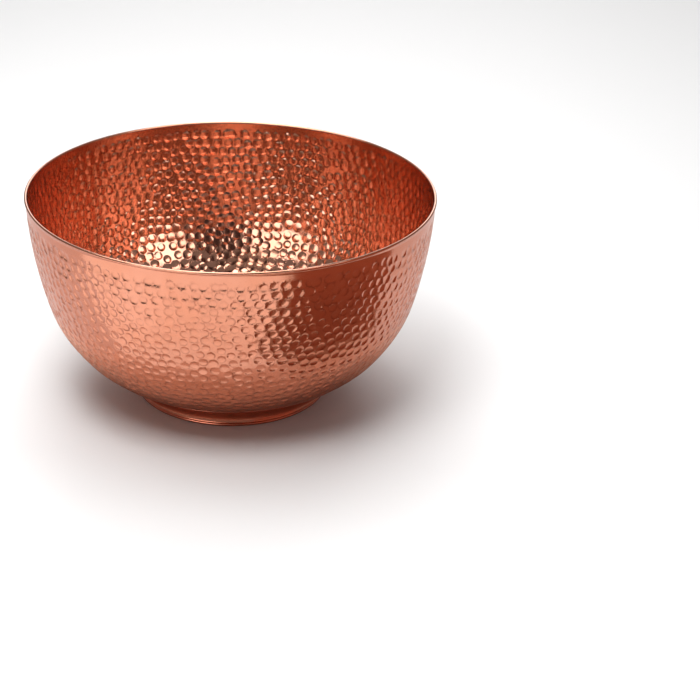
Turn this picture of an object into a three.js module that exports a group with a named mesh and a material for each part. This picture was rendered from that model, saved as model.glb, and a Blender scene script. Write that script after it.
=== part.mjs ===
// Hammered copper bowl on a low foot ring, in millimetres, +Z up.
// The origin is the centre of the circle that the foot stands on.
// Three pieces: the raised sheet bowl, the spun foot ring, and the solder seam that joins them.

import * as THREE from 'three';

// Bowl
const RIM_RADIUS = 150;        // over the outside of the rolled lip
const HEIGHT = 158;            // table to the top of the lip
const WALL = 1.4;              // sheet thickness
const FLOOR_CLEARANCE = 8;     // table to the underside of the flat floor
const BELLY_RADIUS = 100;      // section radius between floor and shoulder, on the outside
const SHOULDER_LEAN = 15.7;    // degrees the wall leans out where belly and upper wall meet
const UPPER_SPREAD = 12.1;     // how much further out the upper wall is at the lip than at the shoulder
const LIP_DIAMETER = 2.2;      // round section of the rolled lip
const LIP_PROUD = 0.8;         // how far the lip stands outside the wall below it

// Foot ring
const FOOT_RADIUS = 72.2;      // over the rounded bottom edge
const FOOT_SHEET = 1.6;        // sheet thickness
const FOOT_EDGE_ROUND = 1.1;   // radius of the rounded bottom edge
const FOOT_FLARE_REACH = 1.1;  // how far the flare leads out from the collar to the edge
const FOOT_FLARE_RADIUS = 12;  // section radius of that flare

// Solder seam
const SOLDER_LEG = 3;          // leg of the fillet on the foot and on the bowl
const SEAM_GAP = 0.3;          // space left between neighbouring solids

// Fineness of the curves
const SEGMENTS = 72;           // facets round the axis
const BELLY_STEPS = 10;
const UPPER_STEPS = 5;
const LIP_STEPS = 4;           // per half circle
const EDGE_STEPS = 6;
const FLARE_STEPS = 3;
const FILLET_STEPS = 3;

const RIGHT_ANGLE = Math.PI / 2;
const shoulderAngle = THREE.MathUtils.degToRad(SHOULDER_LEAN);
const collarOutside = FOOT_RADIUS - FOOT_EDGE_ROUND - FOOT_FLARE_REACH;
const collarInside = collarOutside - FOOT_SHEET;

const COPPER_ROSE = 0xd98b6c;
const COPPER_DEEP = 0xb5644a;
const SOLDER_GREY = 0x9c9488;

// Points of a circular arc, with both ends. Angles are in radians from the +radius direction.
function arc(centre, radius, from, to, steps) {
  const points = [];
  for (let i = 0; i <= steps; i += 1) {
    const angle = from + ((to - from) * i) / steps;
    points.push(new THREE.Vector2(
      centre.x + radius * Math.cos(angle),
      centre.y + radius * Math.sin(angle),
    ));
  }
  return points;
}

// Section of the bowl's outside: a flat floor, the belly arc, and an upper wall arc that
// leaves the belly without a kink and ends under the lip.
function bowlSection() {
  const wallTop = new THREE.Vector2(RIM_RADIUS - LIP_PROUD, HEIGHT - LIP_DIAMETER);
  const floorRadius = wallTop.x - UPPER_SPREAD - BELLY_RADIUS * Math.cos(shoulderAngle);
  const bellyCentre = new THREE.Vector2(floorRadius, FLOOR_CLEARANCE + BELLY_RADIUS);
  const outward = new THREE.Vector2(Math.cos(shoulderAngle), -Math.sin(shoulderAngle));
  const shoulder = bellyCentre.clone().addScaledVector(outward, BELLY_RADIUS);
  const chord = wallTop.clone().sub(shoulder);
  const halfTurn = shoulderAngle - Math.atan2(chord.x, chord.y);
  const upperRadius = chord.length() / (2 * Math.sin(halfTurn));
  const upperCentre = shoulder.clone().addScaledVector(outward, -upperRadius);
  return { floorRadius, bellyCentre, upperCentre, upperRadius, topAngle: 2 * halfTurn - shoulderAngle };
}

const section = bowlSection();

// One face of the sheet from the axis up to the lip, set in from the outside face.
function sheetFace(inset) {
  const { bellyCentre, upperCentre, upperRadius, topAngle } = section;
  const belly = arc(bellyCentre, BELLY_RADIUS - inset, -RIGHT_ANGLE, -shoulderAngle, BELLY_STEPS);
  const upper = arc(upperCentre, upperRadius - inset, -shoulderAngle, topAngle, UPPER_STEPS);
  return [new THREE.Vector2(0, FLOOR_CLEARANCE + inset), ...belly, ...upper.slice(1)];
}

// The round lip, from the outside wall over the top and down to the inside wall.
function lipSection() {
  const radius = LIP_DIAMETER / 2;
  const centre = new THREE.Vector2(RIM_RADIUS - radius, HEIGHT - radius);
  const start = -Math.acos((radius - LIP_PROUD) / radius);
  const under = arc(centre, radius, start, 0, LIP_STEPS / 2);
  const over = arc(centre, radius, 0, Math.PI, LIP_STEPS);
  return [...under, ...over.slice(1)];
}

// Height of the bowl's underside at a radius, measured a clearance away from it.
function undersideHeight(radius, clearance) {
  const out = Math.max(0, radius - section.floorRadius);
  const reach = BELLY_RADIUS + clearance;
  return section.bellyCentre.y - Math.sqrt(reach * reach - out * out);
}

function bowlProfile() {
  return [...sheetFace(0), ...lipSection(), ...sheetFace(WALL).reverse()];
}

// A straight collar that follows the bowl's underside at the top, a flare, and a rounded edge
// with a flat to stand on.
function footProfile() {
  const flareAngle = Math.acos(1 - FOOT_FLARE_REACH / FOOT_FLARE_RADIUS);
  const flareTop = 2 * FOOT_EDGE_ROUND + FOOT_FLARE_RADIUS * Math.sin(flareAngle);
  const flareCentre = new THREE.Vector2(collarOutside + FOOT_FLARE_RADIUS, flareTop);
  const edgeCentre = new THREE.Vector2(FOOT_RADIUS - FOOT_EDGE_ROUND, FOOT_EDGE_ROUND);
  const low = Math.PI + flareAngle;
  const outerFlare = arc(flareCentre, FOOT_FLARE_RADIUS, low, Math.PI, FLARE_STEPS);
  const innerFlare = arc(flareCentre, FOOT_FLARE_RADIUS + FOOT_SHEET, Math.PI, low, FLARE_STEPS);
  const standInside = new THREE.Vector2(innerFlare[FLARE_STEPS].x, 0);
  return [
    standInside,
    ...arc(edgeCentre, FOOT_EDGE_ROUND, -RIGHT_ANGLE, RIGHT_ANGLE, EDGE_STEPS),
    ...outerFlare.slice(1),
    new THREE.Vector2(collarOutside, undersideHeight(collarOutside, SEAM_GAP)),
    new THREE.Vector2(collarInside, undersideHeight(collarInside, SEAM_GAP)),
    ...innerFlare,
    standInside.clone(),
  ];
}

// A hollow-faced fillet in the corner between the collar's inside and the bowl's underside.
function solderProfile() {
  const outer = collarInside - SEAM_GAP;
  const inner = outer - SOLDER_LEG;
  const top = undersideHeight(inner, SEAM_GAP);
  const corner = new THREE.Vector2(outer, undersideHeight(outer, SEAM_GAP));
  const hollow = arc(new THREE.Vector2(inner, top - SOLDER_LEG), SOLDER_LEG, RIGHT_ANGLE, 0, FILLET_STEPS);
  return [corner, ...hollow, corner.clone()];
}

// Turns a section about +Z into a named mesh.
function spun(name, profile, color, roughness) {
  const geometry = new THREE.LatheGeometry(profile, SEGMENTS);
  geometry.rotateX(RIGHT_ANGLE);
  const material = new THREE.MeshStandardMaterial({ color, roughness, metalness: 1 });
  const mesh = new THREE.Mesh(geometry, material);
  mesh.name = name;
  return mesh;
}

const group = new THREE.Group();
group.add(spun('bowl_body', bowlProfile(), COPPER_ROSE, 0.22));
group.add(spun('foot_ring', footProfile(), COPPER_DEEP, 0.25));
group.add(spun('solder_seam', solderProfile(), SOLDER_GREY, 0.5));

export default group;
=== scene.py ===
"""Hammered copper bowl: the sheet, foot ring, solder seam and studio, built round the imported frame."""

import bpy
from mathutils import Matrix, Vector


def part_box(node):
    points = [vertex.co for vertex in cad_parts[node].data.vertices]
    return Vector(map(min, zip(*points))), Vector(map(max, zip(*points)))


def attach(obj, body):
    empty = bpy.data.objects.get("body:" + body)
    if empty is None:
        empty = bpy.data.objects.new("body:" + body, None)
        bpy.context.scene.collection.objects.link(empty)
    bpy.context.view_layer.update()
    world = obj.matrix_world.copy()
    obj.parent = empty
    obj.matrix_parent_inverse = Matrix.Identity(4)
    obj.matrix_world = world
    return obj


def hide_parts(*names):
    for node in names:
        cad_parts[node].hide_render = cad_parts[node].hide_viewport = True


bl_info = {
    "name": "Hammered Copper Bowl",
    "version": (1, 0, 0),
    "blender": (4, 5, 0),
    "location": "View3D > Sidebar > Copper Bowl",
    "description": "Raises a hammered copper bowl on a foot ring, and lights it in a plain studio",
    "category": "Add Mesh",
}

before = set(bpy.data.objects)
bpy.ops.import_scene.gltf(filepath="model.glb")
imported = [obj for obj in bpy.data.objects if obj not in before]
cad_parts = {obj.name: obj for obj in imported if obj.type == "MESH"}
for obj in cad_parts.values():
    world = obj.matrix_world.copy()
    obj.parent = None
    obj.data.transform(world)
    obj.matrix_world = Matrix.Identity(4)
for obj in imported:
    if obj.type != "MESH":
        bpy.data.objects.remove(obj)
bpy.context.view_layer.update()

import math

import bpy
import numpy as np
from bpy.props import (
    FloatProperty,
    FloatVectorProperty,
    IntProperty,
    PointerProperty,
)
from mathutils import Matrix, Vector
from mathutils.geometry import delaunay_2d_cdt

BODY_LOW, BODY_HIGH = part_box("bowl_body")
FOOT_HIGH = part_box("foot_ring")[1]
RIGHT_ANGLE = math.pi / 2
TURN = 2 * math.pi

# Mesh. A mark has rings of vertices, each a share of its radius out and with a number of vertices.
MARK_RINGS = ((0.45, 7), (0.76, 14), (0.92, 20), (1.0, 20), (1.13, 20))
OUTLINE_STEP = 0.0005
FILL_GAP = 0.0016
PLAIN_GAP = 0.0028
LEAST_GAP = 0.00022
LIP_STEPS = 14
ARC_STEPS = 8
EDGE_STEPS = 12
FOOT_COLUMNS = 480
SOLDER_COLUMNS = 720
RING_COLUMNS = 96
FLAT_MAP_RADIUS = 0.245

BOWL_SEED = 12
SOLDER_SEED = 5

# Hammering. Ways are distances along the sheet from its middle.
ROW_RISE = math.sqrt(3) / 2
SPREAD_PASSES = 8
SPREAD_PUSH = 0.25
PRESS_REACH = 1.6
FADE_UNDER = 0.008
FADE_OVER = 0.016
TOP_MARGIN = 0.0012

AIM_HEIGHT = 0.08


# ---------------------------------------------------------------- settings


class BowlSizes(bpy.types.PropertyGroup):
    """Sizes of the copper sheet that the bowl is raised from."""

    rim_radius: FloatProperty(
        name="Rim radius", description="Over the outside of the rolled lip",
        default=BODY_HIGH.x, unit="LENGTH", precision=4)
    height: FloatProperty(
        name="Height", description="Table to the top of the lip",
        default=BODY_HIGH.z, unit="LENGTH", precision=4)
    floor_clearance: FloatProperty(
        name="Floor clearance", description="Table to the underside of the flat floor",
        default=BODY_LOW.z, unit="LENGTH", precision=4)
    wall: FloatProperty(
        name="Wall", description="Thickness of the sheet",
        default=0.0014, unit="LENGTH", precision=4)
    belly_radius: FloatProperty(
        name="Belly radius", description="Section radius between floor and shoulder, on the outside",
        default=0.1, unit="LENGTH", precision=4)
    shoulder_lean: FloatProperty(
        name="Shoulder lean", description="How far the wall leans out where belly and upper wall meet",
        default=math.radians(15.7), subtype="ANGLE")
    upper_spread: FloatProperty(
        name="Upper spread",
        description="How much further out the upper wall is at the lip than at the shoulder",
        default=0.0121, unit="LENGTH", precision=4)
    lip_diameter: FloatProperty(
        name="Lip diameter", description="Round section of the rolled lip",
        default=0.0022, unit="LENGTH", precision=4)
    lip_proud: FloatProperty(
        name="Lip proud", description="How far the lip stands outside the wall below it",
        default=0.0008, unit="LENGTH", precision=4)
    columns: IntProperty(
        name="Columns", description="Mesh columns round the rim", default=900)


class HammerMarks(bpy.types.PropertyGroup):
    """The marks that the ball-faced hammer leaves in rows round the bowl."""

    pitch_outside: FloatProperty(
        name="Pitch outside", description="Distance between neighbouring marks on the outside",
        default=0.0078, unit="LENGTH", precision=4)
    pitch_inside: FloatProperty(
        name="Pitch inside", description="Distance between neighbouring marks on the inside",
        default=0.0080, unit="LENGTH", precision=4)
    width_outside: FloatProperty(
        name="Width outside", description="Diameter of one mark on the outside",
        default=0.0065, unit="LENGTH", precision=4)
    width_inside: FloatProperty(
        name="Width inside", description="Diameter of one mark on the inside",
        default=0.0076, unit="LENGTH", precision=4)
    depth_outside: FloatProperty(
        name="Depth outside", description="Depth of a mark on the outside",
        default=0.00042, unit="LENGTH", precision=5)
    depth_inside: FloatProperty(
        name="Depth inside", description="Depth of a mark on the inside",
        default=0.00036, unit="LENGTH", precision=5)
    edge_outside: FloatProperty(
        name="Edge outside", description="How much of a mark's depth is in its steep edge, on the outside",
        default=0.68, subtype="FACTOR")
    edge_inside: FloatProperty(
        name="Edge inside", description="How much of a mark's depth is in its steep edge, on the inside",
        default=0.82, subtype="FACTOR")
    power_outside: FloatProperty(
        name="Power outside",
        description="How suddenly a mark's edge rises on the outside; a small number is soft",
        default=5.5)
    power_inside: FloatProperty(
        name="Power inside",
        description="How suddenly a mark's edge rises on the inside; a small number is soft",
        default=4.0)
    lean: FloatProperty(
        name="Lean", description="How much deeper the lower side of a mark is than its middle",
        default=0.16, subtype="FACTOR")
    # Painted shade: how much darker the creases round the marks are painted inside than outside.
    inside_crease_shade: FloatProperty(
        name="Inside crease", description="How much more the creases are painted_darker inside than outside",
        default=1.0)
    burr: FloatProperty(
        name="Burr", description="Height of the metal pushed up round a mark, as a share of its depth",
        default=0.25, subtype="FACTOR")
    burr_width: FloatProperty(
        name="Burr width", description="How far the pushed-up metal reaches from a mark's edge",
        default=0.0007, unit="LENGTH", precision=5)
    scatter: FloatProperty(
        name="Scatter", description="How far a blow strays from its place, as a share of the pitch",
        default=0.14, subtype="FACTOR")
    wander: FloatProperty(
        name="Wander", description="How far a row drifts from its line, as a share of the pitch",
        default=0.35, subtype="FACTOR")
    plain_band: FloatProperty(
        name="Plain band outside", description="Width left unhammered under the lip on the outside",
        default=0.0085, unit="LENGTH", precision=4)
    plain_band_inside: FloatProperty(
        name="Plain band inside", description="Width left unhammered under the lip on the inside",
        default=0.0062, unit="LENGTH", precision=4)
    plain_foot: FloatProperty(
        name="Plain foot", description="Height under which the outside is left unhammered",
        default=0.028, unit="LENGTH", precision=4)
    ripple: FloatProperty(
        name="Ripple", description="Height of the slow unevenness that hammering leaves in the sheet",
        default=0.00010, unit="LENGTH", precision=5)


class FootSizes(bpy.types.PropertyGroup):
    """Sizes of the spun ring that the bowl stands on, and of the solder that holds it."""

    radius: FloatProperty(
        name="Radius", description="Over the rounded bottom edge",
        default=FOOT_HIGH.x, unit="LENGTH", precision=4)
    sheet: FloatProperty(
        name="Sheet", description="Thickness of the ring's sheet",
        default=0.0016, unit="LENGTH", precision=4)
    edge_round: FloatProperty(
        name="Edge round", description="Radius of the rounded bottom edge",
        default=0.0011, unit="LENGTH", precision=4)
    flare_reach: FloatProperty(
        name="Flare reach", description="How far the flare leads out from the collar to the edge",
        default=0.0011, unit="LENGTH", precision=4)
    flare_radius: FloatProperty(
        name="Flare radius", description="Section radius of the flare",
        default=0.012, unit="LENGTH", precision=4)
    solder_leg: FloatProperty(
        name="Solder leg", description="Leg of the solder fillet on the foot and on the bowl",
        default=0.003, unit="LENGTH", precision=4)


class CopperLook(bpy.types.PropertyGroup):
    """Colours of the metals."""

    rose: FloatVectorProperty(
        name="Rose", description="Polished copper", subtype="COLOR", size=3,
        default=(0.80, 0.37, 0.245), min=0, max=1)
    warm: FloatVectorProperty(
        name="Warm", description="Copper where handling has warmed its colour", subtype="COLOR", size=3,
        default=(0.78, 0.335, 0.205), min=0, max=1)
    # Painted shade: both foot colours are darker and redder than the bowl's copper, standing in for the
    # shaded underside and floor that the foot mirrors; they mix in random patches.
    foot_shaded: FloatVectorProperty(
        name="Foot", description="Copper of the spun foot", subtype="COLOR", size=3,
        default=(0.72, 0.23, 0.13), min=0, max=1)
    foot_shaded_deeper: FloatVectorProperty(
        name="Foot, deeper", description="Copper of the spun foot where it has darkened",
        subtype="COLOR", size=3,
        default=(0.62, 0.18, 0.09), min=0, max=1)
    # Painted shade: the dark colour painted into the creases round the marks, along the foot's collar and at
    # the foot's top and bottom edges, and how far it spreads.
    painted_shade: FloatVectorProperty(
        name="Painted shade", description="Darkened copper in the creases", subtype="COLOR", size=3,
        default=(0.30, 0.09, 0.045), min=0, max=1)
    painted_shade_strength: FloatProperty(
        name="Tarnish strength", description="How far tarnish covers the creases",
        default=0.6, subtype="FACTOR")
    solder: FloatVectorProperty(
        name="Solder", description="Dull solder", subtype="COLOR", size=3,
        default=(0.42, 0.40, 0.37), min=0, max=1)
    polish: FloatProperty(
        name="Polish", description="Roughness of the polished sheet", default=0.11, subtype="FACTOR")


class StudioSetup(bpy.types.PropertyGroup):
    """The plain studio round the bowl."""

    floor_color: FloatVectorProperty(
        name="Floor", description="Colour of the pale floor", subtype="COLOR", size=3,
        default=(0.86, 0.86, 0.86), min=0, max=1)
    sky: FloatProperty(name="Sky", description="Brightness of the white room", default=0.2)
    camera_place: FloatVectorProperty(
        name="Camera", description="Where the camera stands", subtype="TRANSLATION", size=3,
        default=(0.0899, -1.2288, 0.6416))
    camera_pitch: FloatProperty(
        name="Pitch", description="How far the camera looks down",
        default=math.radians(26.458), subtype="ANGLE")
    camera_roll: FloatProperty(
        name="Roll", description="How far the camera is tipped about its line of sight",
        default=math.radians(1.805), subtype="ANGLE")
    camera_lens: FloatProperty(name="Lens", description="Focal length on a 36 mm sensor", default=92.57)


# ---------------------------------------------------------------- sections


def arc(centre, radius, start, end, angles):
    """Points of a circular arc in section: rows of radius and height."""
    turn = start + (end - start) * angles
    return np.stack([centre[0] + radius * np.cos(turn), centre[1] + radius * np.sin(turn)], 1)


def bowl_section(sizes):
    """The arcs of the bowl's outside: belly centre, upper centre, upper radius and the angle at its top."""
    lean = sizes.shoulder_lean
    top = np.array([sizes.rim_radius - sizes.lip_proud, sizes.height - sizes.lip_diameter])
    floor_radius = top[0] - sizes.upper_spread - sizes.belly_radius * math.cos(lean)
    belly = np.array([floor_radius, sizes.floor_clearance + sizes.belly_radius])
    outward = np.array([math.cos(lean), -math.sin(lean)])
    shoulder = belly + outward * sizes.belly_radius
    chord = top - shoulder
    half_turn = lean - math.atan2(chord[0], chord[1])
    upper_radius = np.linalg.norm(chord) / (2 * math.sin(half_turn))
    return belly, shoulder - outward * upper_radius, upper_radius, 2 * half_turn - lean


def face_of_sheet(sizes, inset, step):
    """One face of the sheet from the axis up to the lip: points, and the way along them from the axis."""
    belly, upper, upper_radius, top_angle = bowl_section(sizes)
    bend = sizes.belly_radius - inset
    rise = upper_radius - inset
    lean = sizes.shoulder_lean
    floor_steps = max(2, round(belly[0] / step))
    belly_steps = round(bend * (RIGHT_ANGLE - lean) / step)
    upper_steps = round(rise * (lean + top_angle) / step)
    level = sizes.floor_clearance + inset
    floor = np.stack([np.linspace(0, belly[0], floor_steps + 1), np.full(floor_steps + 1, level)], 1)
    bent = arc(belly, bend, -RIGHT_ANGLE, -lean, np.linspace(0, 1, belly_steps + 1))
    risen = arc(upper, rise, -lean, top_angle, np.linspace(0, 1, upper_steps + 1))
    return np.concatenate([floor, bent[1:], risen[1:]])


def along(points):
    """How far each point lies along its outline."""
    return np.concatenate([[0], np.cumsum(np.linalg.norm(np.diff(points, axis=0), axis=1))])


def facing(points):
    """Unit normals of an outline that runs up the outside: to the right of the way it runs."""
    run = np.gradient(points, axis=0)
    normal = np.stack([run[:, 1], -run[:, 0]], 1)
    return normal / np.linalg.norm(normal, axis=1, keepdims=True)


def lip_points(sizes, steps):
    """The round lip, from the outside wall over the top to the inside wall, without its ends."""
    radius = sizes.lip_diameter / 2
    centre = (sizes.rim_radius - radius, sizes.height - radius)
    start = -math.acos((radius - sizes.lip_proud) / radius)
    return arc(centre, radius, start, math.pi, np.linspace(0, 1, steps + 1))[1:-1]


def collar_radius(foot):
    """Outside radius of the foot ring's straight collar."""
    return foot.radius - foot.edge_round - foot.flare_reach


def underside_height(sizes, radius):
    """Height of the bowl's underside at a radius inside the belly arc."""
    belly = bowl_section(sizes)[0]
    out = max(0.0, radius - belly[0])
    return belly[1] - math.sqrt(sizes.belly_radius ** 2 - out ** 2)


# ---------------------------------------------------------------- meshes


def join_rings(first, rings, columns, closed=False):
    """Quads between neighbouring rings of vertices, the first of which starts at a vertex number.
    They turn outward where the rings run up the outside."""
    last = rings if closed else rings - 1
    ring = np.arange(last)[:, None]
    column = np.arange(columns)[None, :]
    after = (column + 1) % columns
    low = first + ring * columns
    high = first + (ring + 1) % rings * columns
    return np.stack([low + column, low + after, high + after, high + column], 2).reshape(-1, 4)


def turn_rings(outline, columns, bump=None):
    """Places of an outline turned about the axis, ring by ring; bump moves each ring out and up."""
    angle = TURN * np.arange(columns) / columns
    out = np.repeat(outline[:, :1], columns, 1)
    up = np.repeat(outline[:, 1:], columns, 1)
    if bump is not None:
        out = out + bump
        up = up + bump
    return np.stack([out * np.cos(angle), out * np.sin(angle), up], 2).reshape(-1, 3)


def mesh_of(name, places, quads=(), tris=(), layers=(), flat_map=None):
    """A smooth-shaded mesh object in the scene, with float layers and a flat map on its vertices."""
    quads = np.array(quads, int).reshape(-1, 4)
    tris = np.array(tris, int).reshape(-1, 3)
    corners = np.concatenate([tris.ravel(), quads.ravel()]).astype(np.int32)
    sides = np.concatenate([np.full(len(tris), 3), np.full(len(quads), 4)])
    starts = np.concatenate([[0], np.cumsum(sides)[:-1]]).astype(np.int32)
    mesh = bpy.data.meshes.new(name)
    mesh.vertices.add(len(places))
    mesh.vertices.foreach_set("co", places.astype(np.float32).ravel())
    mesh.loops.add(len(corners))
    mesh.loops.foreach_set("vertex_index", corners)
    mesh.polygons.add(len(sides))
    mesh.polygons.foreach_set("loop_start", starts)
    if flat_map is not None:
        layer = mesh.uv_layers.new(name="UVMap")
        layer.data.foreach_set("uv", flat_map[corners].astype(np.float32).ravel())
    mesh.update(calc_edges=True)
    mesh.validate()
    mesh.shade_smooth()
    for title, values in layers:
        layer = mesh.attributes.new(title, "FLOAT", "POINT")
        layer.data.foreach_set("value", values.astype(np.float32))
    piece = bpy.data.objects.new(name, mesh)
    bpy.context.scene.collection.objects.link(piece)
    return piece


# ---------------------------------------------------------------- hammering


class Face:
    """One face of the sheet, from the axis up to the lip, and a flat plan of it.

    The plan is the disc that the face would make if it were spread out without changing any angle, so a round
    mark on the face is a round mark on the plan, only larger or smaller."""

    def __init__(self, sizes, inset):
        self.outline = face_of_sheet(sizes, inset, OUTLINE_STEP)
        self.way = along(self.outline)
        self.normal = facing(self.outline)
        radius = self.outline[:, 0]
        middle = (radius[2:] + radius[1:-1]) / 2
        growth = np.cumsum(np.diff(self.way)[1:] / middle)
        self.plan = np.concatenate([[0, radius[1]], radius[1] * np.exp(growth)])

    def length(self):
        return self.way[-1]

    def radius_at(self, way):
        return np.interp(way, self.way, self.outline[:, 0])

    def way_at_height(self, height):
        """How far along the face its wall reaches a height."""
        rising = self.outline[:, 1] > self.outline[0, 1] + 0.0001
        return float(np.interp(height, self.outline[rising, 1], self.way[rising]))

    def on_plan(self, way, angle):
        """Plan places of points on the face."""
        spread = np.interp(way, self.way, self.plan)
        return np.stack([spread * np.cos(angle), spread * np.sin(angle)], 1)

    def off_plan(self, places):
        """The way along the face and the angle of plan places."""
        spread = np.linalg.norm(places, axis=1)
        return np.interp(spread, self.plan, self.way), np.arctan2(places[:, 1], places[:, 0])

    def plan_scale(self, way):
        """How much larger the plan is than the face."""
        return np.interp(way, self.way[1:], self.plan[1:] / self.outline[1:, 0])

    def in_space(self, way, angle, raised):
        """Places in space of points that stand off the face by a height."""
        height = np.interp(way, self.way, self.outline[:, 1])
        out = self.radius_at(way) + np.interp(way, self.way, self.normal[:, 0]) * raised
        up = height + np.interp(way, self.way, self.normal[:, 1]) * raised
        return np.stack([out * np.cos(angle), out * np.sin(angle), up], 1)


def staggered_rows(face, low, high, pitch):
    """Points in staggered rows round a face, between two distances along it: way, angle and row of each."""
    rows = max(1, round((high - low) / (pitch * ROW_RISE)))
    ways, angles, numbers = [], [], []
    for row in range(rows + 1):
        way = high - (high - low) * row / rows
        count = max(1, round(TURN * float(face.radius_at(way)) / pitch))
        ways.append(np.full(count, way))
        angles.append(TURN * (np.arange(count) + 0.5 * (row % 2)) / count)
        numbers.append(np.full(count, row))
    return np.concatenate(ways), np.concatenate(angles), np.concatenate(numbers)


def drift_of(way, angle, waves):
    """How far wandering rows have strayed: the sum of a few waves round and along a face, about 1 high."""
    drift = sum(np.cos(around * angle + up * way + start) for around, up, start in waves)
    return drift / math.sqrt(len(waves) / 2)


def draw_waves(rng, number, around, up):
    """Random waves: how many times each goes round, how it turns with the way, and where it starts."""
    waves = []
    for _ in range(number):
        waves.append((int(rng.integers(*around)), rng.uniform(-up, up), rng.uniform(0, TURN)))
    return waves


def spread_apart(places, scale, gap, fixed):
    """Move plan places that are nearer to each other than a gap on the face, a few times over."""
    distance = np.hypot(*(places[:, None, :] - places[None, :, :]).transpose(2, 0, 1))
    one, other = np.nonzero(distance < 2 * gap * scale[:, None])
    one, other = one[one != other], other[one != other]
    wanted = gap * (scale[one] + scale[other]) / 2
    free = ~fixed[one]
    places = places.copy()
    for _ in range(SPREAD_PASSES):
        apart = places[one] - places[other]
        distance = np.hypot(apart[:, 0], apart[:, 1])
        share = (wanted - distance).clip(0, None) / distance * SPREAD_PUSH * free
        np.add.at(places, one, apart * share[:, None])
    return places


class Blows:
    """The marks on one face: place and radius on the plan, depth, and how the hammer was tipped."""

    def __init__(self, face, low, high, side, marks, rng):
        pitch, width, depth, self.edge, self.power = side
        way, angle, row = staggered_rows(face, low, high, pitch)
        waves = draw_waves(rng, 8, (5, 26), 90)
        top = row == 0
        easing = np.minimum(1, row / 3)
        stray = rng.normal(0, marks.scatter * pitch, (2, len(way)))
        drift = easing * marks.wander * pitch * drift_of(way, angle, waves)
        way = way + drift + stray[0] * np.where(top, 0.3, 1)
        way = np.minimum(np.abs(way), high + 0.1 * pitch)
        angle = angle + stray[1] / np.maximum(face.radius_at(way), pitch)
        scale = face.plan_scale(way)
        self.places = spread_apart(face.on_plan(way, angle), scale, 0.94 * pitch, top)
        self.scale = face.plan_scale(face.off_plan(self.places)[0])
        self.radius = width / 2 * rng.uniform(0.9, 1.06, len(way))
        self.reach = self.radius * self.scale
        self.depth = depth * rng.uniform(0.7, 1.2, len(way))
        outward = self.places / np.linalg.norm(self.places, axis=1, keepdims=True)
        self.tip = rng.normal(0, 0.22, (len(way), 2)) - marks.lean * outward

    def outlines(self):
        """Plan places on the marks' rings, and how far out each ring is as a share of the mark's radius."""
        places, shares = [self.places], [np.zeros(len(self.places))]
        for share, count in MARK_RINGS:
            angle = TURN * (np.arange(count) + 0.5 * (len(places) % 2)) / count
            ring = np.stack([np.cos(angle), np.sin(angle)], 1) * share
            places.append((self.places[:, None, :] + ring[None] * self.reach[:, None, None]).reshape(-1, 2))
            shares.append(np.full(count * len(self.places), share))
        return np.concatenate(places), np.concatenate(shares)

    def press(self, places, marks):
        """Height of the face at plan places, how far each is from its nearest mark as a share of that mark's
        radius, and how much painted shade each takes in the ring round a mark's edge."""
        order = np.argsort(np.hypot(places[:, 0], places[:, 1]))
        x, y = places[order, 0], places[order, 1]
        spread = np.hypot(x, y)
        hollow = np.zeros(len(x))
        burr = np.zeros(len(x))
        inside = np.zeros(len(x), bool)
        nearest = np.full(len(x), np.inf)
        crease_shade = np.zeros(len(x))
        centre = np.hypot(self.places[:, 0], self.places[:, 1])
        starts = np.searchsorted(spread, centre - PRESS_REACH * self.reach)
        ends = np.searchsorted(spread, centre + PRESS_REACH * self.reach)
        for i, (start, end) in enumerate(zip(starts, ends)):
            dx = x[start:end] - self.places[i, 0]
            dy = y[start:end] - self.places[i, 1]
            close = np.flatnonzero(dx * dx + dy * dy < (PRESS_REACH * self.reach[i]) ** 2)
            at = start + close
            dx, dy = dx[close] / self.reach[i], dy[close] / self.reach[i]
            share = np.hypot(dx, dy)
            slant = (1 + self.tip[i, 0] * dx + self.tip[i, 1] * dy).clip(0.4, 1.6)
            dish = 1 - (1 - self.edge) * share ** 2 - self.edge * share ** self.power
            height = self.depth[i] * (marks.burr - (1 + marks.burr) * dish * slant)
            under = share < 0.999
            beyond = ((share - 1) * self.radius[i] / marks.burr_width).clip(0, None)
            skirt = self.depth[i] * marks.burr * np.exp(-beyond ** 2)
            deeper = under & (~inside[at] | (height < hollow[at]))
            hollow[at] = np.where(deeper, height, hollow[at])
            inside[at] |= under
            # Painted shade: a ring of darkening round each mark's edge, stronger on its deeper side.
            shade_amount = ease(share, 0.68, 0.92) * ease(share, 1.14, 0.97) * ease(slant, 0.7, 1.3)
            crease_shade[at] = np.where(deeper, shade_amount, np.maximum(crease_shade[at], shade_amount * ~inside[at]))
            burr[at] = np.maximum(burr[at], skirt)
            nearest[at] = np.minimum(nearest[at], share)
        back = np.argsort(order)
        return np.where(inside, hollow, burr)[back], nearest[back], crease_shade[back]


def thin_out(places, scale, gap):
    """Numbers of the plan places to keep, so that few are nearer than a gap. The first ones stay."""
    cell = np.round(places / (gap * scale)[:, None]).astype(np.int64)
    key = cell[:, 0] * 4000037 + cell[:, 1]
    return np.sort(np.unique(key, return_index=True)[1])


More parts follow.
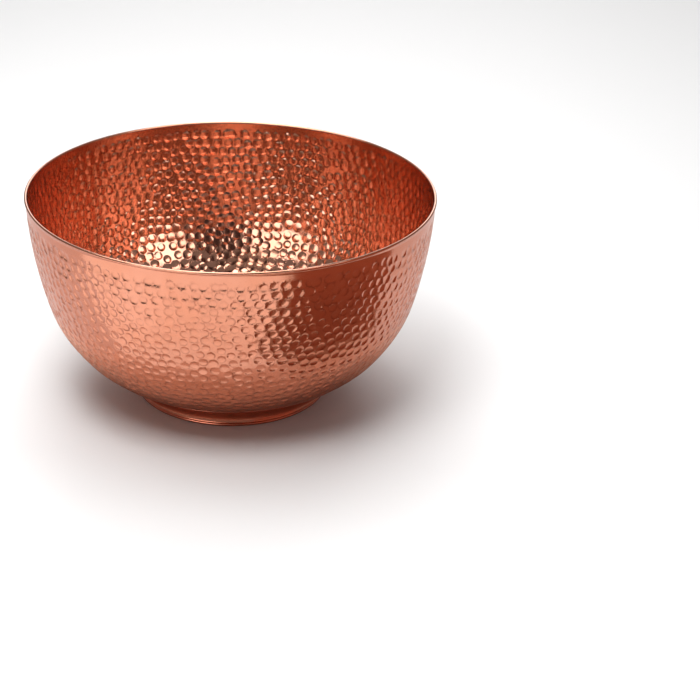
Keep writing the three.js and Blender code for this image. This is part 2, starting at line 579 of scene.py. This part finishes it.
def mesh_places(face, blows, low, width, edge, marks):
    """Plan places of one face's vertices: the edge under the lip, the marks' rings, and rows between them."""
    top = face.length()
    fine = staggered_rows(face, max(low - 0.006, 0.002), top - FILL_GAP, FILL_GAP)
    coarse = ([0.0], [0.0], [0])
    if low > 0.01:
        coarse = staggered_rows(face, 0.002, low - 0.007, PLAIN_GAP)
    rest = face.on_plan(np.concatenate([fine[0], coarse[0]]), np.concatenate([fine[1], coarse[1]]))
    rings, ring_share = blows.outlines()
    ring_way = face.off_plan(rings)[0]
    keep = (fade_in(ring_way, low) > 0) & (ring_way < top - TOP_MARGIN)
    rings, ring_share = rings[keep], ring_share[keep]
    nearest = blows.press(rings, marks)[1]
    rings = rings[nearest > np.minimum(ring_share, 0.999) - 0.002]
    clear = MARK_RINGS[-1][0] + 0.6 * FILL_GAP / (width / 2)
    rest = rest[blows.press(rest, marks)[1] > clear]
    places = np.concatenate([rings, rest])
    places = places[thin_out(places, face.plan_scale(face.off_plan(places)[0]), LEAST_GAP)]
    return np.concatenate([edge, places])


def triangles_between(places):
    """Triangles that join plan places, each with its nearest neighbours."""
    corners = [Vector(place) for place in places.tolist()]
    faces = delaunay_2d_cdt(corners, [], [], 0, 0.0, True)
    number = np.array([origin[0] for origin in faces[3]])
    return number[np.array(faces[2])]


def fade_in(way, low):
    """How strong the marks are along a face: none well under a way, full over it, or full all over."""
    return ease(way, low - FADE_UNDER, low + FADE_OVER) if low > 0 else np.ones(len(way))


def hammer_face(sizes, marks, inset, side, band, low, rng):
    """One hammered face: vertices in space, triangles, how hammered each vertex is and how much painted shade
    its creases take, and its place on the plan. The vertices of the edge under the lip come first."""
    face = Face(sizes, inset)
    width = side[1]
    top = face.length()
    blows = Blows(face, low, top + sizes.lip_diameter - band - width / 2, side, marks, rng)
    edge_angle = TURN * np.arange(sizes.columns) / sizes.columns
    edge = face.on_plan(np.full(sizes.columns, top), edge_angle)
    places = mesh_places(face, blows, low, width, edge, marks)
    way, angle = face.off_plan(places)
    way[:sizes.columns] = top
    fade = fade_in(way, low)
    calm = ease(top - way, 0.004, 0.03)
    if low > 0:
        calm = calm * ease(way, low - 0.02, low + 0.02)
    waves = draw_waves(rng, 10, (6, 24), 120)
    height, _, crease_shade = blows.press(places, marks)
    raised = fade * height + calm * marks.ripple * drift_of(way, angle, waves)
    raised[:sizes.columns] = 0
    flat = places / np.linalg.norm(places, axis=1).max()
    band_end = band - sizes.lip_diameter
    hammered = fade * ease(top - way, band_end - 0.001, band_end + 0.001)
    shares = np.stack([hammered, crease_shade * fade])
    return face.in_space(way, angle, raised), triangles_between(flat), shares, flat


def ease(value, low, high):
    """0 under low, 1 over high, and smooth between."""
    t = np.clip((value - low) / (high - low), 0, 1)
    return t * t * (3 - 2 * t)


def make_bowl(sizes, marks, foot):
    """The whole sheet as one closed mesh: the outside face, the lip and the inside face."""
    rng = np.random.default_rng(BOWL_SEED)
    columns = sizes.columns
    plain_way = Face(sizes, 0).way_at_height(marks.plain_foot)
    outside, inside = [
        [getattr(marks, f"{size}_{side}") for size in ("pitch", "width", "depth", "edge", "power")]
        for side in ("outside", "inside")
    ]
    outer, outer_tris, outer_share, outer_plan = hammer_face(
        sizes, marks, 0, outside, marks.plain_band, plain_way, rng)
    inner, inner_tris, inner_share, inner_plan = hammer_face(
        sizes, marks, sizes.wall, inside, marks.plain_band_inside, 0, rng)
    # Painted shade in the creases inside is scaled apart from the outside.
    inner_share[1] *= marks.inside_crease_shade
    lip = turn_rings(lip_points(sizes, LIP_STEPS), columns)
    first_lip = len(outer) + len(inner)
    strip = np.concatenate([
        np.arange(columns)[None],
        first_lip + np.arange(len(lip)).reshape(-1, columns),
        len(outer) + np.arange(columns)[None],
    ])
    after = np.roll(strip, -1, axis=1)
    quads = np.stack([strip[:-1], after[:-1], after[1:], strip[1:]], 2).reshape(-1, 4)
    tris = np.concatenate([outer_tris[:, ::-1], len(outer) + inner_tris])
    around = np.arange(len(lip)) % columns / columns
    across = np.arange(len(lip)) // columns / max(1, len(lip) // columns)
    flat = np.concatenate([
        outer_plan * FLAT_MAP_RADIUS + (0.25, 0.25),
        inner_plan * FLAT_MAP_RADIUS + (0.75, 0.25),
        np.stack([around, 0.6 + 0.05 * across], 1),
    ])
    places = np.concatenate([outer, inner, lip])
    hammered, crease_shade = np.concatenate([outer_share, inner_share, np.zeros((2, len(lip)))], axis=1)
    # Painted shade: the outside is darkened in a narrow band where the foot ring meets it.
    from_collar = np.abs(np.hypot(places[:, 0], places[:, 1]) - collar_radius(foot))
    at_collar = (places[:, 2] < FOOT_HIGH.z + 0.003) & (np.arange(len(places)) < len(outer))
    crease_shade = np.where(at_collar, ease(from_collar, 0.0035, 0.0005), crease_shade)
    return mesh_of("hammered_bowl", places, quads, tris, [("hammered", hammered), ("crease_shade", crease_shade)], flat)


# ---------------------------------------------------------------- foot and solder


def spin(name, outline, columns, bump=None, crease_shade=None):
    """A closed outline turned about the axis, with how much painted shade each of its points takes."""
    places = turn_rings(outline, columns, bump)
    quads = join_rings(0, len(outline), columns, closed=True)
    shade_amount = np.zeros(len(outline)) if crease_shade is None else crease_shade
    return mesh_of(name, places, quads, layers=[("crease_shade", np.repeat(shade_amount, columns))])


def foot_outline(foot, sizes):
    """Round the ring's section, from the stand flat up the outside and down the inside."""
    spread = math.acos(1 - foot.flare_reach / foot.flare_radius)
    flare_top = 2 * foot.edge_round + foot.flare_radius * math.sin(spread)
    collar = collar_radius(foot)
    flare = (collar + foot.flare_radius, flare_top)
    edge = (foot.radius - foot.edge_round, foot.edge_round)
    inside = collar - foot.sheet
    low = math.pi + spread
    even = np.linspace(0, 1, ARC_STEPS + 1)
    inner = arc(flare, foot.flare_radius + foot.sheet, math.pi, low, even)
    outer_top = underside_height(sizes, collar)
    inner_top = underside_height(sizes, inside)
    straight = np.linspace(0, 1, 4)[1:-1, None]
    outer_side = np.array([[collar, flare_top]]) * (1 - straight) + np.array([[collar, outer_top]]) * straight
    return np.concatenate([
        [[inner[-1][0] + 0.0002, 0], [edge[0] - 0.0002, 0]],
        arc(edge, foot.edge_round, -RIGHT_ANGLE, RIGHT_ANGLE, np.linspace(0, 1, EDGE_STEPS + 1)),
        arc(flare, foot.flare_radius, low, math.pi, even)[1:],
        outer_side,
        [[collar, outer_top - 0.00005], [inside, inner_top - 0.00005]],
        inner,
        [[inner[-1][0], 0.0002]],
    ])


def solder_outline(foot, sizes):
    """Round the fillet's section: a hollow face between the collar and the underside."""
    outer = collar_radius(foot) - foot.sheet
    inner = outer - foot.solder_leg
    top = underside_height(sizes, inner)
    even = np.linspace(0, 1, ARC_STEPS + 1)
    hollow = arc((inner, top - foot.solder_leg), foot.solder_leg, RIGHT_ANGLE, 0, even)
    return np.concatenate([[[outer, underside_height(sizes, outer)]], hollow])


# ---------------------------------------------------------------- shader groups


def new_group(name, inputs, outputs):
    """A shader node group with its sockets made."""
    group = bpy.data.node_groups.new(name, "ShaderNodeTree")
    for title, kind, value in inputs:
        socket = group.interface.new_socket(title, in_out="INPUT", socket_type=kind)
        socket.default_value = value
    for title, kind in outputs:
        group.interface.new_socket(title, in_out="OUTPUT", socket_type=kind)
    return group, group.nodes.new("NodeGroupInput"), group.nodes.new("NodeGroupOutput")


def add_node(tree, kind, links=(), **values):
    """A node with its inputs set by name or linked from (input, output socket) pairs."""
    node = tree.nodes.new(kind)
    for title, value in values.items():
        setattr(node, title, value)
    for title, source in links:
        socket = node.inputs[title]
        if isinstance(source, bpy.types.NodeSocket):
            tree.links.new(source, socket)
        else:
            socket.default_value = source
    return node


def math_node(tree, operation, *values):
    """The result of a sum on values or sockets."""
    return add_node(tree, "ShaderNodeMath", enumerate(values), operation=operation).outputs[0]


def turning_lines_group():
    """Fine lines that a spinning lathe leaves round the axis, as a height from 0 to 1."""
    group, given, result = new_group(
        "Turning lines", [("Fineness", "NodeSocketFloat", 1.0)], [("Height", "NodeSocketFloat")])
    place = add_node(group, "ShaderNodeTexCoord").outputs["Object"]
    split = add_node(group, "ShaderNodeSeparateXYZ", [("Vector", place)])
    flat = add_node(group, "ShaderNodeCombineXYZ", [("X", split.outputs["X"]), ("Y", split.outputs["Y"])])
    radius = add_node(group, "ShaderNodeVectorMath", [(0, flat.outputs[0])], operation="LENGTH")
    around = math_node(group, "ARCTAN2", split.outputs["Y"], split.outputs["X"])
    slow = math_node(group, "MULTIPLY", around, 0.0004)
    line = add_node(group, "ShaderNodeCombineXYZ", [
        ("X", radius.outputs["Value"]), ("Y", slow), ("Z", split.outputs["Z"])])
    scale = math_node(group, "MULTIPLY", given.outputs["Fineness"], 2600.0)
    noise = add_node(group, "ShaderNodeTexNoise", [
        ("Vector", line.outputs[0]), ("Scale", scale), ("Detail", 2.0), ("Roughness", 0.6)])
    group.links.new(noise.outputs["Fac"], result.inputs["Height"])
    return group


def handling_group():
    """Where cloths and fingers have been: a soft mask from 0 to 1, and fine wiping streaks."""
    group, given, result = new_group(
        "Handling", [("Patch size", "NodeSocketFloat", 0.03)],
        [("Mask", "NodeSocketFloat"), ("Streaks", "NodeSocketFloat")])
    place = add_node(group, "ShaderNodeTexCoord").outputs["Object"]
    scale = math_node(group, "DIVIDE", 1.0, given.outputs["Patch size"])
    noise = add_node(group, "ShaderNodeTexNoise", [
        ("Vector", place), ("Scale", scale), ("Detail", 4.0), ("Roughness", 0.55), ("Distortion", 0.6)])
    mask = add_node(group, "ShaderNodeMapRange", [
        ("Value", noise.outputs["Fac"]), ("From Min", 0.35), ("From Max", 0.68)])
    squash = add_node(group, "ShaderNodeMapping", [
        ("Vector", place), ("Scale", (900.0, 260.0, 900.0)), ("Rotation", (0.4, 0.7, 0.2))])
    streaks = add_node(group, "ShaderNodeTexNoise", [
        ("Vector", squash.outputs[0]), ("Scale", 1.0), ("Detail", 2.0)])
    group.links.new(mask.outputs[0], result.inputs["Mask"])
    group.links.new(streaks.outputs["Fac"], result.inputs["Streaks"])
    return group


# ---------------------------------------------------------------- materials


def empty_material(name):
    """A material with only a Principled shader on its output."""
    material = bpy.data.materials.new(name)
    material.use_nodes = True
    tree = material.node_tree
    tree.nodes.clear()
    shader = tree.nodes.new("ShaderNodeBsdfPrincipled")
    output = tree.nodes.new("ShaderNodeOutputMaterial")
    tree.links.new(shader.outputs[0], output.inputs["Surface"])
    return material, tree, shader


def placed_group(tree, group, **values):
    """A shared group's node, with its inputs set by name."""
    node = tree.nodes.new("ShaderNodeGroup")
    node.node_tree = group
    for title, value in values.items():
        node.inputs[title.replace("_", " ")].default_value = value
    return node


def range_of(tree, value, low, high):
    """A value from 0 to 1 spread between two others."""
    ends = [("Value", value), ("To Min", low), ("To Max", high)]
    return add_node(tree, "ShaderNodeMapRange", ends).outputs[0]


def mixed_color(tree, factor, first, second):
    """The socket of a mix of two colours, each a colour or another mix."""
    node = add_node(tree, "ShaderNodeMix", [("Factor", factor)], data_type="RGBA")
    for color, title in ((first, "A_Color"), (second, "B_Color")):
        socket = next(socket for socket in node.inputs if socket.identifier == title)
        if isinstance(color, bpy.types.NodeSocket):
            tree.links.new(color, socket)
        else:
            socket.default_value = (*color, 1)
    return next(socket for socket in node.outputs if socket.identifier == "Result_Color")


def shaded(color, share):
    return [share * part for part in color]


def attribute(tree, name):
    return add_node(tree, "ShaderNodeAttribute", attribute_name=name).outputs["Fac"]


def copper(name, colors, look, groups, polish, line_strength, line_mask=None):
    """Lacquered copper: two close tints in soft patches, painted shade in the creases broken into fine
    patches, polish that handling dulls, and turning lines where the sheet isn't hammered."""
    material, tree, shader = empty_material(name)
    handling = placed_group(tree, groups["handling"], Patch_size=0.035)
    # Painted shade: a fine patch mask breaks up the darkening painted into the creases.
    shade_patches = placed_group(tree, groups["handling"], Patch_size=0.006)
    lines = placed_group(tree, groups["lines"], Fineness=1.0)
    tint = mixed_color(tree, handling.outputs["Mask"], *colors)
    patchy_shade = range_of(tree, shade_patches.outputs["Mask"], 0.4 * look.painted_shade_strength, 1.6 * look.painted_shade_strength)
    shade_share = math_node(tree, "MULTIPLY", attribute(tree, "crease_shade"), patchy_shade)
    tree.links.new(mixed_color(tree, shade_share, tint, look.painted_shade), shader.inputs["Base Color"])
    shader.inputs["Metallic"].default_value = 1.0
    shader.inputs["Coat Weight"].default_value = 0.8
    shader.inputs["Coat Roughness"].default_value = 0.06
    rough = range_of(tree, handling.outputs["Mask"], polish, polish + 0.05)
    streaked = math_node(tree, "MULTIPLY_ADD", handling.outputs["Streaks"], 0.05, rough)
    tree.links.new(streaked, shader.inputs["Roughness"])
    height = lines.outputs["Height"]
    if line_mask:
        plain = math_node(tree, "SUBTRACT", 1.0, attribute(tree, line_mask))
        height = math_node(tree, "MULTIPLY", height, plain)
    bump = add_node(tree, "ShaderNodeBump", [
        ("Height", height), ("Strength", line_strength), ("Distance", 0.0001)])
    tree.links.new(bump.outputs[0], shader.inputs["Normal"])
    return material


def solder_material(look, groups):
    """Dull grey solder with a wiped, slightly grainy skin."""
    material, tree, shader = empty_material("Wiped solder")
    handling = placed_group(tree, groups["handling"], Patch_size=0.004)
    tint = mixed_color(tree, handling.outputs["Mask"], look.solder, shaded(look.solder, 0.7))
    tree.links.new(tint, shader.inputs["Base Color"])
    shader.inputs["Metallic"].default_value = 1.0
    tree.links.new(range_of(tree, handling.outputs["Mask"], 0.38, 0.6), shader.inputs["Roughness"])
    bump = add_node(tree, "ShaderNodeBump", [
        ("Height", handling.outputs["Streaks"]), ("Strength", 0.4), ("Distance", 0.0002)])
    tree.links.new(bump.outputs[0], shader.inputs["Normal"])
    return material


def plain_material(name, color, roughness):
    """An even, matt colour that varies a little from place to place."""
    material, tree, shader = empty_material(name)
    noise = add_node(tree, "ShaderNodeTexNoise", [("Scale", 3.0), ("Detail", 2.0)])
    tint = mixed_color(tree, noise.outputs["Fac"], color, shaded(color, 0.985))
    tree.links.new(tint, shader.inputs["Base Color"])
    shader.inputs["Roughness"].default_value = roughness
    return material


def shared_groups():
    """The node groups that the metals share, made once."""
    if "Turning lines" not in bpy.data.node_groups:
        turning_lines_group()
        handling_group()
    return {
        "lines": bpy.data.node_groups["Turning lines"],
        "handling": bpy.data.node_groups["Handling"],
    }


# ---------------------------------------------------------------- studio


def direction(azimuth, elevation):
    """Unit vector to a place seen from the bowl: azimuth turns from the front to the right."""
    around = math.radians(azimuth)
    up = math.radians(elevation)
    return Vector((math.sin(around) * math.cos(up), -math.cos(around) * math.cos(up), math.sin(up)))


def softbox(name, azimuth, elevation, distance, size, radiance):
    """A rectangular light that faces the bowl and isn't seen by the camera."""
    light = bpy.data.lights.new(name, "AREA")
    light.shape = "RECTANGLE"
    light.size, light.size_y = size
    light.energy = radiance * math.pi * size[0] * size[1]
    lamp = bpy.data.objects.new(name, light)
    bpy.context.scene.collection.objects.link(lamp)
    aim = Vector((0, 0, AIM_HEIGHT))
    lamp.location = direction(azimuth, elevation) * distance + aim
    lamp.rotation_euler = (aim - lamp.location).to_track_quat("-Z", "Y").to_euler()
    lamp.visible_camera = False
    return lamp


def only_mirrored(piece, color):
    """Give a stage piece a colour that only reflections see: not the camera, and it casts no shadow."""
    piece.data.materials.append(plain_material(piece.name, color, 0.9))
    piece.visible_camera = False
    piece.visible_shadow = False
    piece.visible_diffuse = False


def rectangle(name, width, depth):
    """A flat rectangle round the origin."""
    x, y = width / 2, depth / 2
    return mesh_of(name, np.array([[-x, -y, 0], [x, -y, 0], [x, y, 0], [-x, y, 0]]), [[0, 1, 2, 3]])


def standing_card(name, azimuth, elevation, distance, middle, size, color):
    """A card that faces the bowl, at a distance from a height over its middle."""
    piece = rectangle(name, *size)
    piece.location = direction(azimuth, elevation) * distance + Vector((0, 0, middle))
    piece.rotation_euler = (-direction(azimuth, elevation)).to_track_quat("Z", "Y").to_euler()
    only_mirrored(piece, color)


def floor_card(name, place, turn, size, color, height):
    """A card that lies on the floor, or a little over another one."""
    piece = rectangle(name, *size)
    piece.location = (*place, height)
    piece.rotation_euler.z = math.radians(turn)
    only_mirrored(piece, color)


def floor_ring(name, inner, outer, color, height):
    """A flat ring round the foot, on the floor."""
    places = turn_rings(np.array([[inner, height], [outer, height]]), RING_COLUMNS)
    only_mirrored(mesh_of(name, places, join_rings(0, 2, RING_COLUMNS)), color)


def white_room(strength):
    """An even white world, shown with plain contrast."""
    world = bpy.data.worlds.new("White room")
    bpy.context.scene.world = world
    world.use_nodes = True
    back = world.node_tree.nodes["Background"]
    back.inputs["Color"].default_value = (1, 1, 1, 1)
    back.inputs["Strength"].default_value = strength
    bpy.context.scene.view_settings.view_transform = "Standard"


def pale_floor(color):
    """The floor that the bowl stands on."""
    floor = rectangle("studio_floor", 8.0, 8.0)
    floor.data.materials.append(plain_material("Pale floor", color, 0.7))


def set_camera(studio):
    """Stand the camera at its place, tipped as set."""
    data = bpy.data.cameras.new("camera")
    data.lens = studio.camera_lens
    data.sensor_width = 36
    camera = bpy.data.objects.new("camera", data)
    bpy.context.scene.collection.objects.link(camera)
    tilt = Matrix.Rotation(RIGHT_ANGLE - studio.camera_pitch, 4, "X")
    roll = Matrix.Rotation(studio.camera_roll, 4, "Z")
    camera.matrix_world = Matrix.Translation(studio.camera_place) @ tilt @ roll
    bpy.context.scene.camera = camera


# ---------------------------------------------------------------- operators


class COPPERBOWL_OT_raise_bowl(bpy.types.Operator):
    """Raise the hammered sheet bowl with its rolled lip"""

    bl_idname = "copperbowl.raise_bowl"
    bl_label = "Raise Bowl"

    def execute(self, context):
        scene = context.scene
        bowl = make_bowl(scene.bowl_sizes, scene.hammer_marks, scene.foot_sizes)
        look = scene.copper_look
        bowl.data.materials.append(copper(
            "Hammered copper", (look.rose, look.warm), look, shared_groups(), look.polish, 0.12, "hammered"))
        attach(bowl, "root")
        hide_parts("bowl_body")
        return {"FINISHED"}


class COPPERBOWL_OT_spin_foot(bpy.types.Operator):
    """Spin the plain foot ring"""

    bl_idname = "copperbowl.spin_foot"
    bl_label = "Spin Foot Ring"

    def execute(self, context):
        scene = context.scene
        outline = foot_outline(scene.foot_sizes, scene.bowl_sizes)
        # Painted shade: the foot ring is darkened at its top, just under the bowl, and along its bottom edge
        # on the floor.
        shade_amount = np.maximum(ease(outline[:, 1], 0.0085, 0.0115), ease(outline[:, 1], 0.0008, 0.0))
        ring = spin("spun_foot", outline, FOOT_COLUMNS, crease_shade=shade_amount)
        look = scene.copper_look
        # Painted shade: the foot's copper is darker and redder than the bowl's.
        shaded_foot_tints = (look.foot_shaded, look.foot_shaded_deeper)
        ring.data.materials.append(copper(
            "Spun copper", shaded_foot_tints, look, shared_groups(), look.polish + 0.08, 0.3))
        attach(ring, "root")
        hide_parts("foot_ring")
        return {"FINISHED"}


class COPPERBOWL_OT_run_solder(bpy.types.Operator):
    """Run the solder seam inside the foot"""

    bl_idname = "copperbowl.run_solder"
    bl_label = "Run Solder"

    def execute(self, context):
        scene = context.scene
        outline = solder_outline(scene.foot_sizes, scene.bowl_sizes)
        rng = np.random.default_rng(SOLDER_SEED)
        angle = TURN * np.arange(SOLDER_COLUMNS) / SOLDER_COLUMNS
        waves = [(int(rng.integers(5, 60)), rng.uniform(0, TURN)) for _ in range(14)]
        lump = sum(np.cos(k * angle + start) for k, start in waves) / math.sqrt(len(waves))
        share = np.sin(math.pi * np.arange(len(outline)) / len(outline))
        seam = spin("solder_run", outline, SOLDER_COLUMNS, -0.00018 * share[:, None] * lump[None, :])
        seam.data.materials.append(solder_material(scene.copper_look, shared_groups()))
        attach(seam, "root")
        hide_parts("solder_seam")
        return {"FINISHED"}


class COPPERBOWL_OT_set_stage(bpy.types.Operator):
    """Lay the pale floor, light the room, set the cards that only the metal mirrors, place the camera"""

    bl_idname = "copperbowl.set_stage"
    bl_label = "Set Stage"

    def execute(self, context):
        studio = context.scene.studio_setup
        set_camera(studio)
        white_room(studio.sky)
        pale_floor(studio.floor_color)
        softbox("overhead_softbox", -140, 80, 0.95, (0.8, 0.8), 3.7)
        softbox("floor_softbox", -15, 60, 0.9, (0.4, 0.4), 9.6).visible_glossy = False
        softbox("backdrop_softbox", 175, 48, 1.8, (1.6, 0.9), 3.0).visible_glossy = False
        softbox("back_softbox", 180, 22, 2.6, (2.0, 1.0), 1.5)
        softbox("left_softbox", -33, 30, 1.9, (1.15, 0.8), 2.6).visible_diffuse = False
        softbox("right_softbox", 56, 31, 1.9, (0.9, 0.8), 2.7).visible_diffuse = False
        standing_card("front_gap", 12, 36, 1.7, 0.08, (0.62, 0.9), (0.05, 0.03, 0.03))
        standing_card("brown_card", 49, 0, 0.2, 0.1, (0.17, 0.2), (0.35, 0.12, 0.065))
        # Painted shadow of the neighbouring bowl on the floor, seen only in reflections.
        shadow_place = 0.285 * direction(47, 0).xy
        floor_card("neighbour_shadow", shadow_place, 47, (0.25, 0.21), (0.23, 0.12, 0.085), 0.002)
        # Painted shade on the floor behind and beside the bowl, and a warmer, dimmer tint on the floor in
        # front, seen only in reflections.
        floor_card("far_floor_shade", (0, 1.87), 0, (5.0, 4.0), (0.56, 0.44, 0.41), 0.0005)
        floor_card("front_floor_shade", (0, -1.13), 0, (5.0, 2.0), (0.87, 0.76, 0.71), 0.0005)
        # Painted shadow round the foot, tinted by light off the copper, seen only in reflections.
        floor_ring("near_floor_shadow", 0.02, 0.15, (0.58, 0.36, 0.27), 0.0015)
        floor_ring("middle_floor_shadow", 0.15, 0.185, (0.66, 0.46, 0.38), 0.0015)
        return {"FINISHED"}


class COPPERBOWL_PT_panel(bpy.types.Panel):
    """Sizes, colours and steps of the copper bowl"""

    bl_label = "Copper Bowl"
    bl_idname = "COPPERBOWL_PT_panel"
    bl_space_type = "VIEW_3D"
    bl_region_type = "UI"
    bl_category = "Copper Bowl"

    def draw(self, context):
        for title in SETTINGS:
            box = self.layout.box()
            settings = getattr(context.scene, title)
            for name in settings.__annotations__:
                box.prop(settings, name)
        for operator in OPERATORS:
            self.layout.operator(operator.bl_idname)


SETTINGS = {
    "bowl_sizes": BowlSizes,
    "hammer_marks": HammerMarks,
    "foot_sizes": FootSizes,
    "copper_look": CopperLook,
    "studio_setup": StudioSetup,
}
OPERATORS = (
    COPPERBOWL_OT_raise_bowl,
    COPPERBOWL_OT_spin_foot,
    COPPERBOWL_OT_run_solder,
    COPPERBOWL_OT_set_stage,
)
CLASSES = (*SETTINGS.values(), *OPERATORS, COPPERBOWL_PT_panel)


def register():
    for cls in CLASSES:
        bpy.utils.register_class(cls)
    for title, group in SETTINGS.items():
        setattr(bpy.types.Scene, title, PointerProperty(type=group))


def unregister():
    for title in SETTINGS:
        delattr(bpy.types.Scene, title)
    for cls in reversed(CLASSES):
        bpy.utils.unregister_class(cls)


def main():
    """Build everything."""
    register()
    bpy.ops.copperbowl.set_stage()
    bpy.ops.copperbowl.raise_bowl()
    bpy.ops.copperbowl.spin_foot()
    bpy.ops.copperbowl.run_solder()


if __name__ == "__main__":
    main()
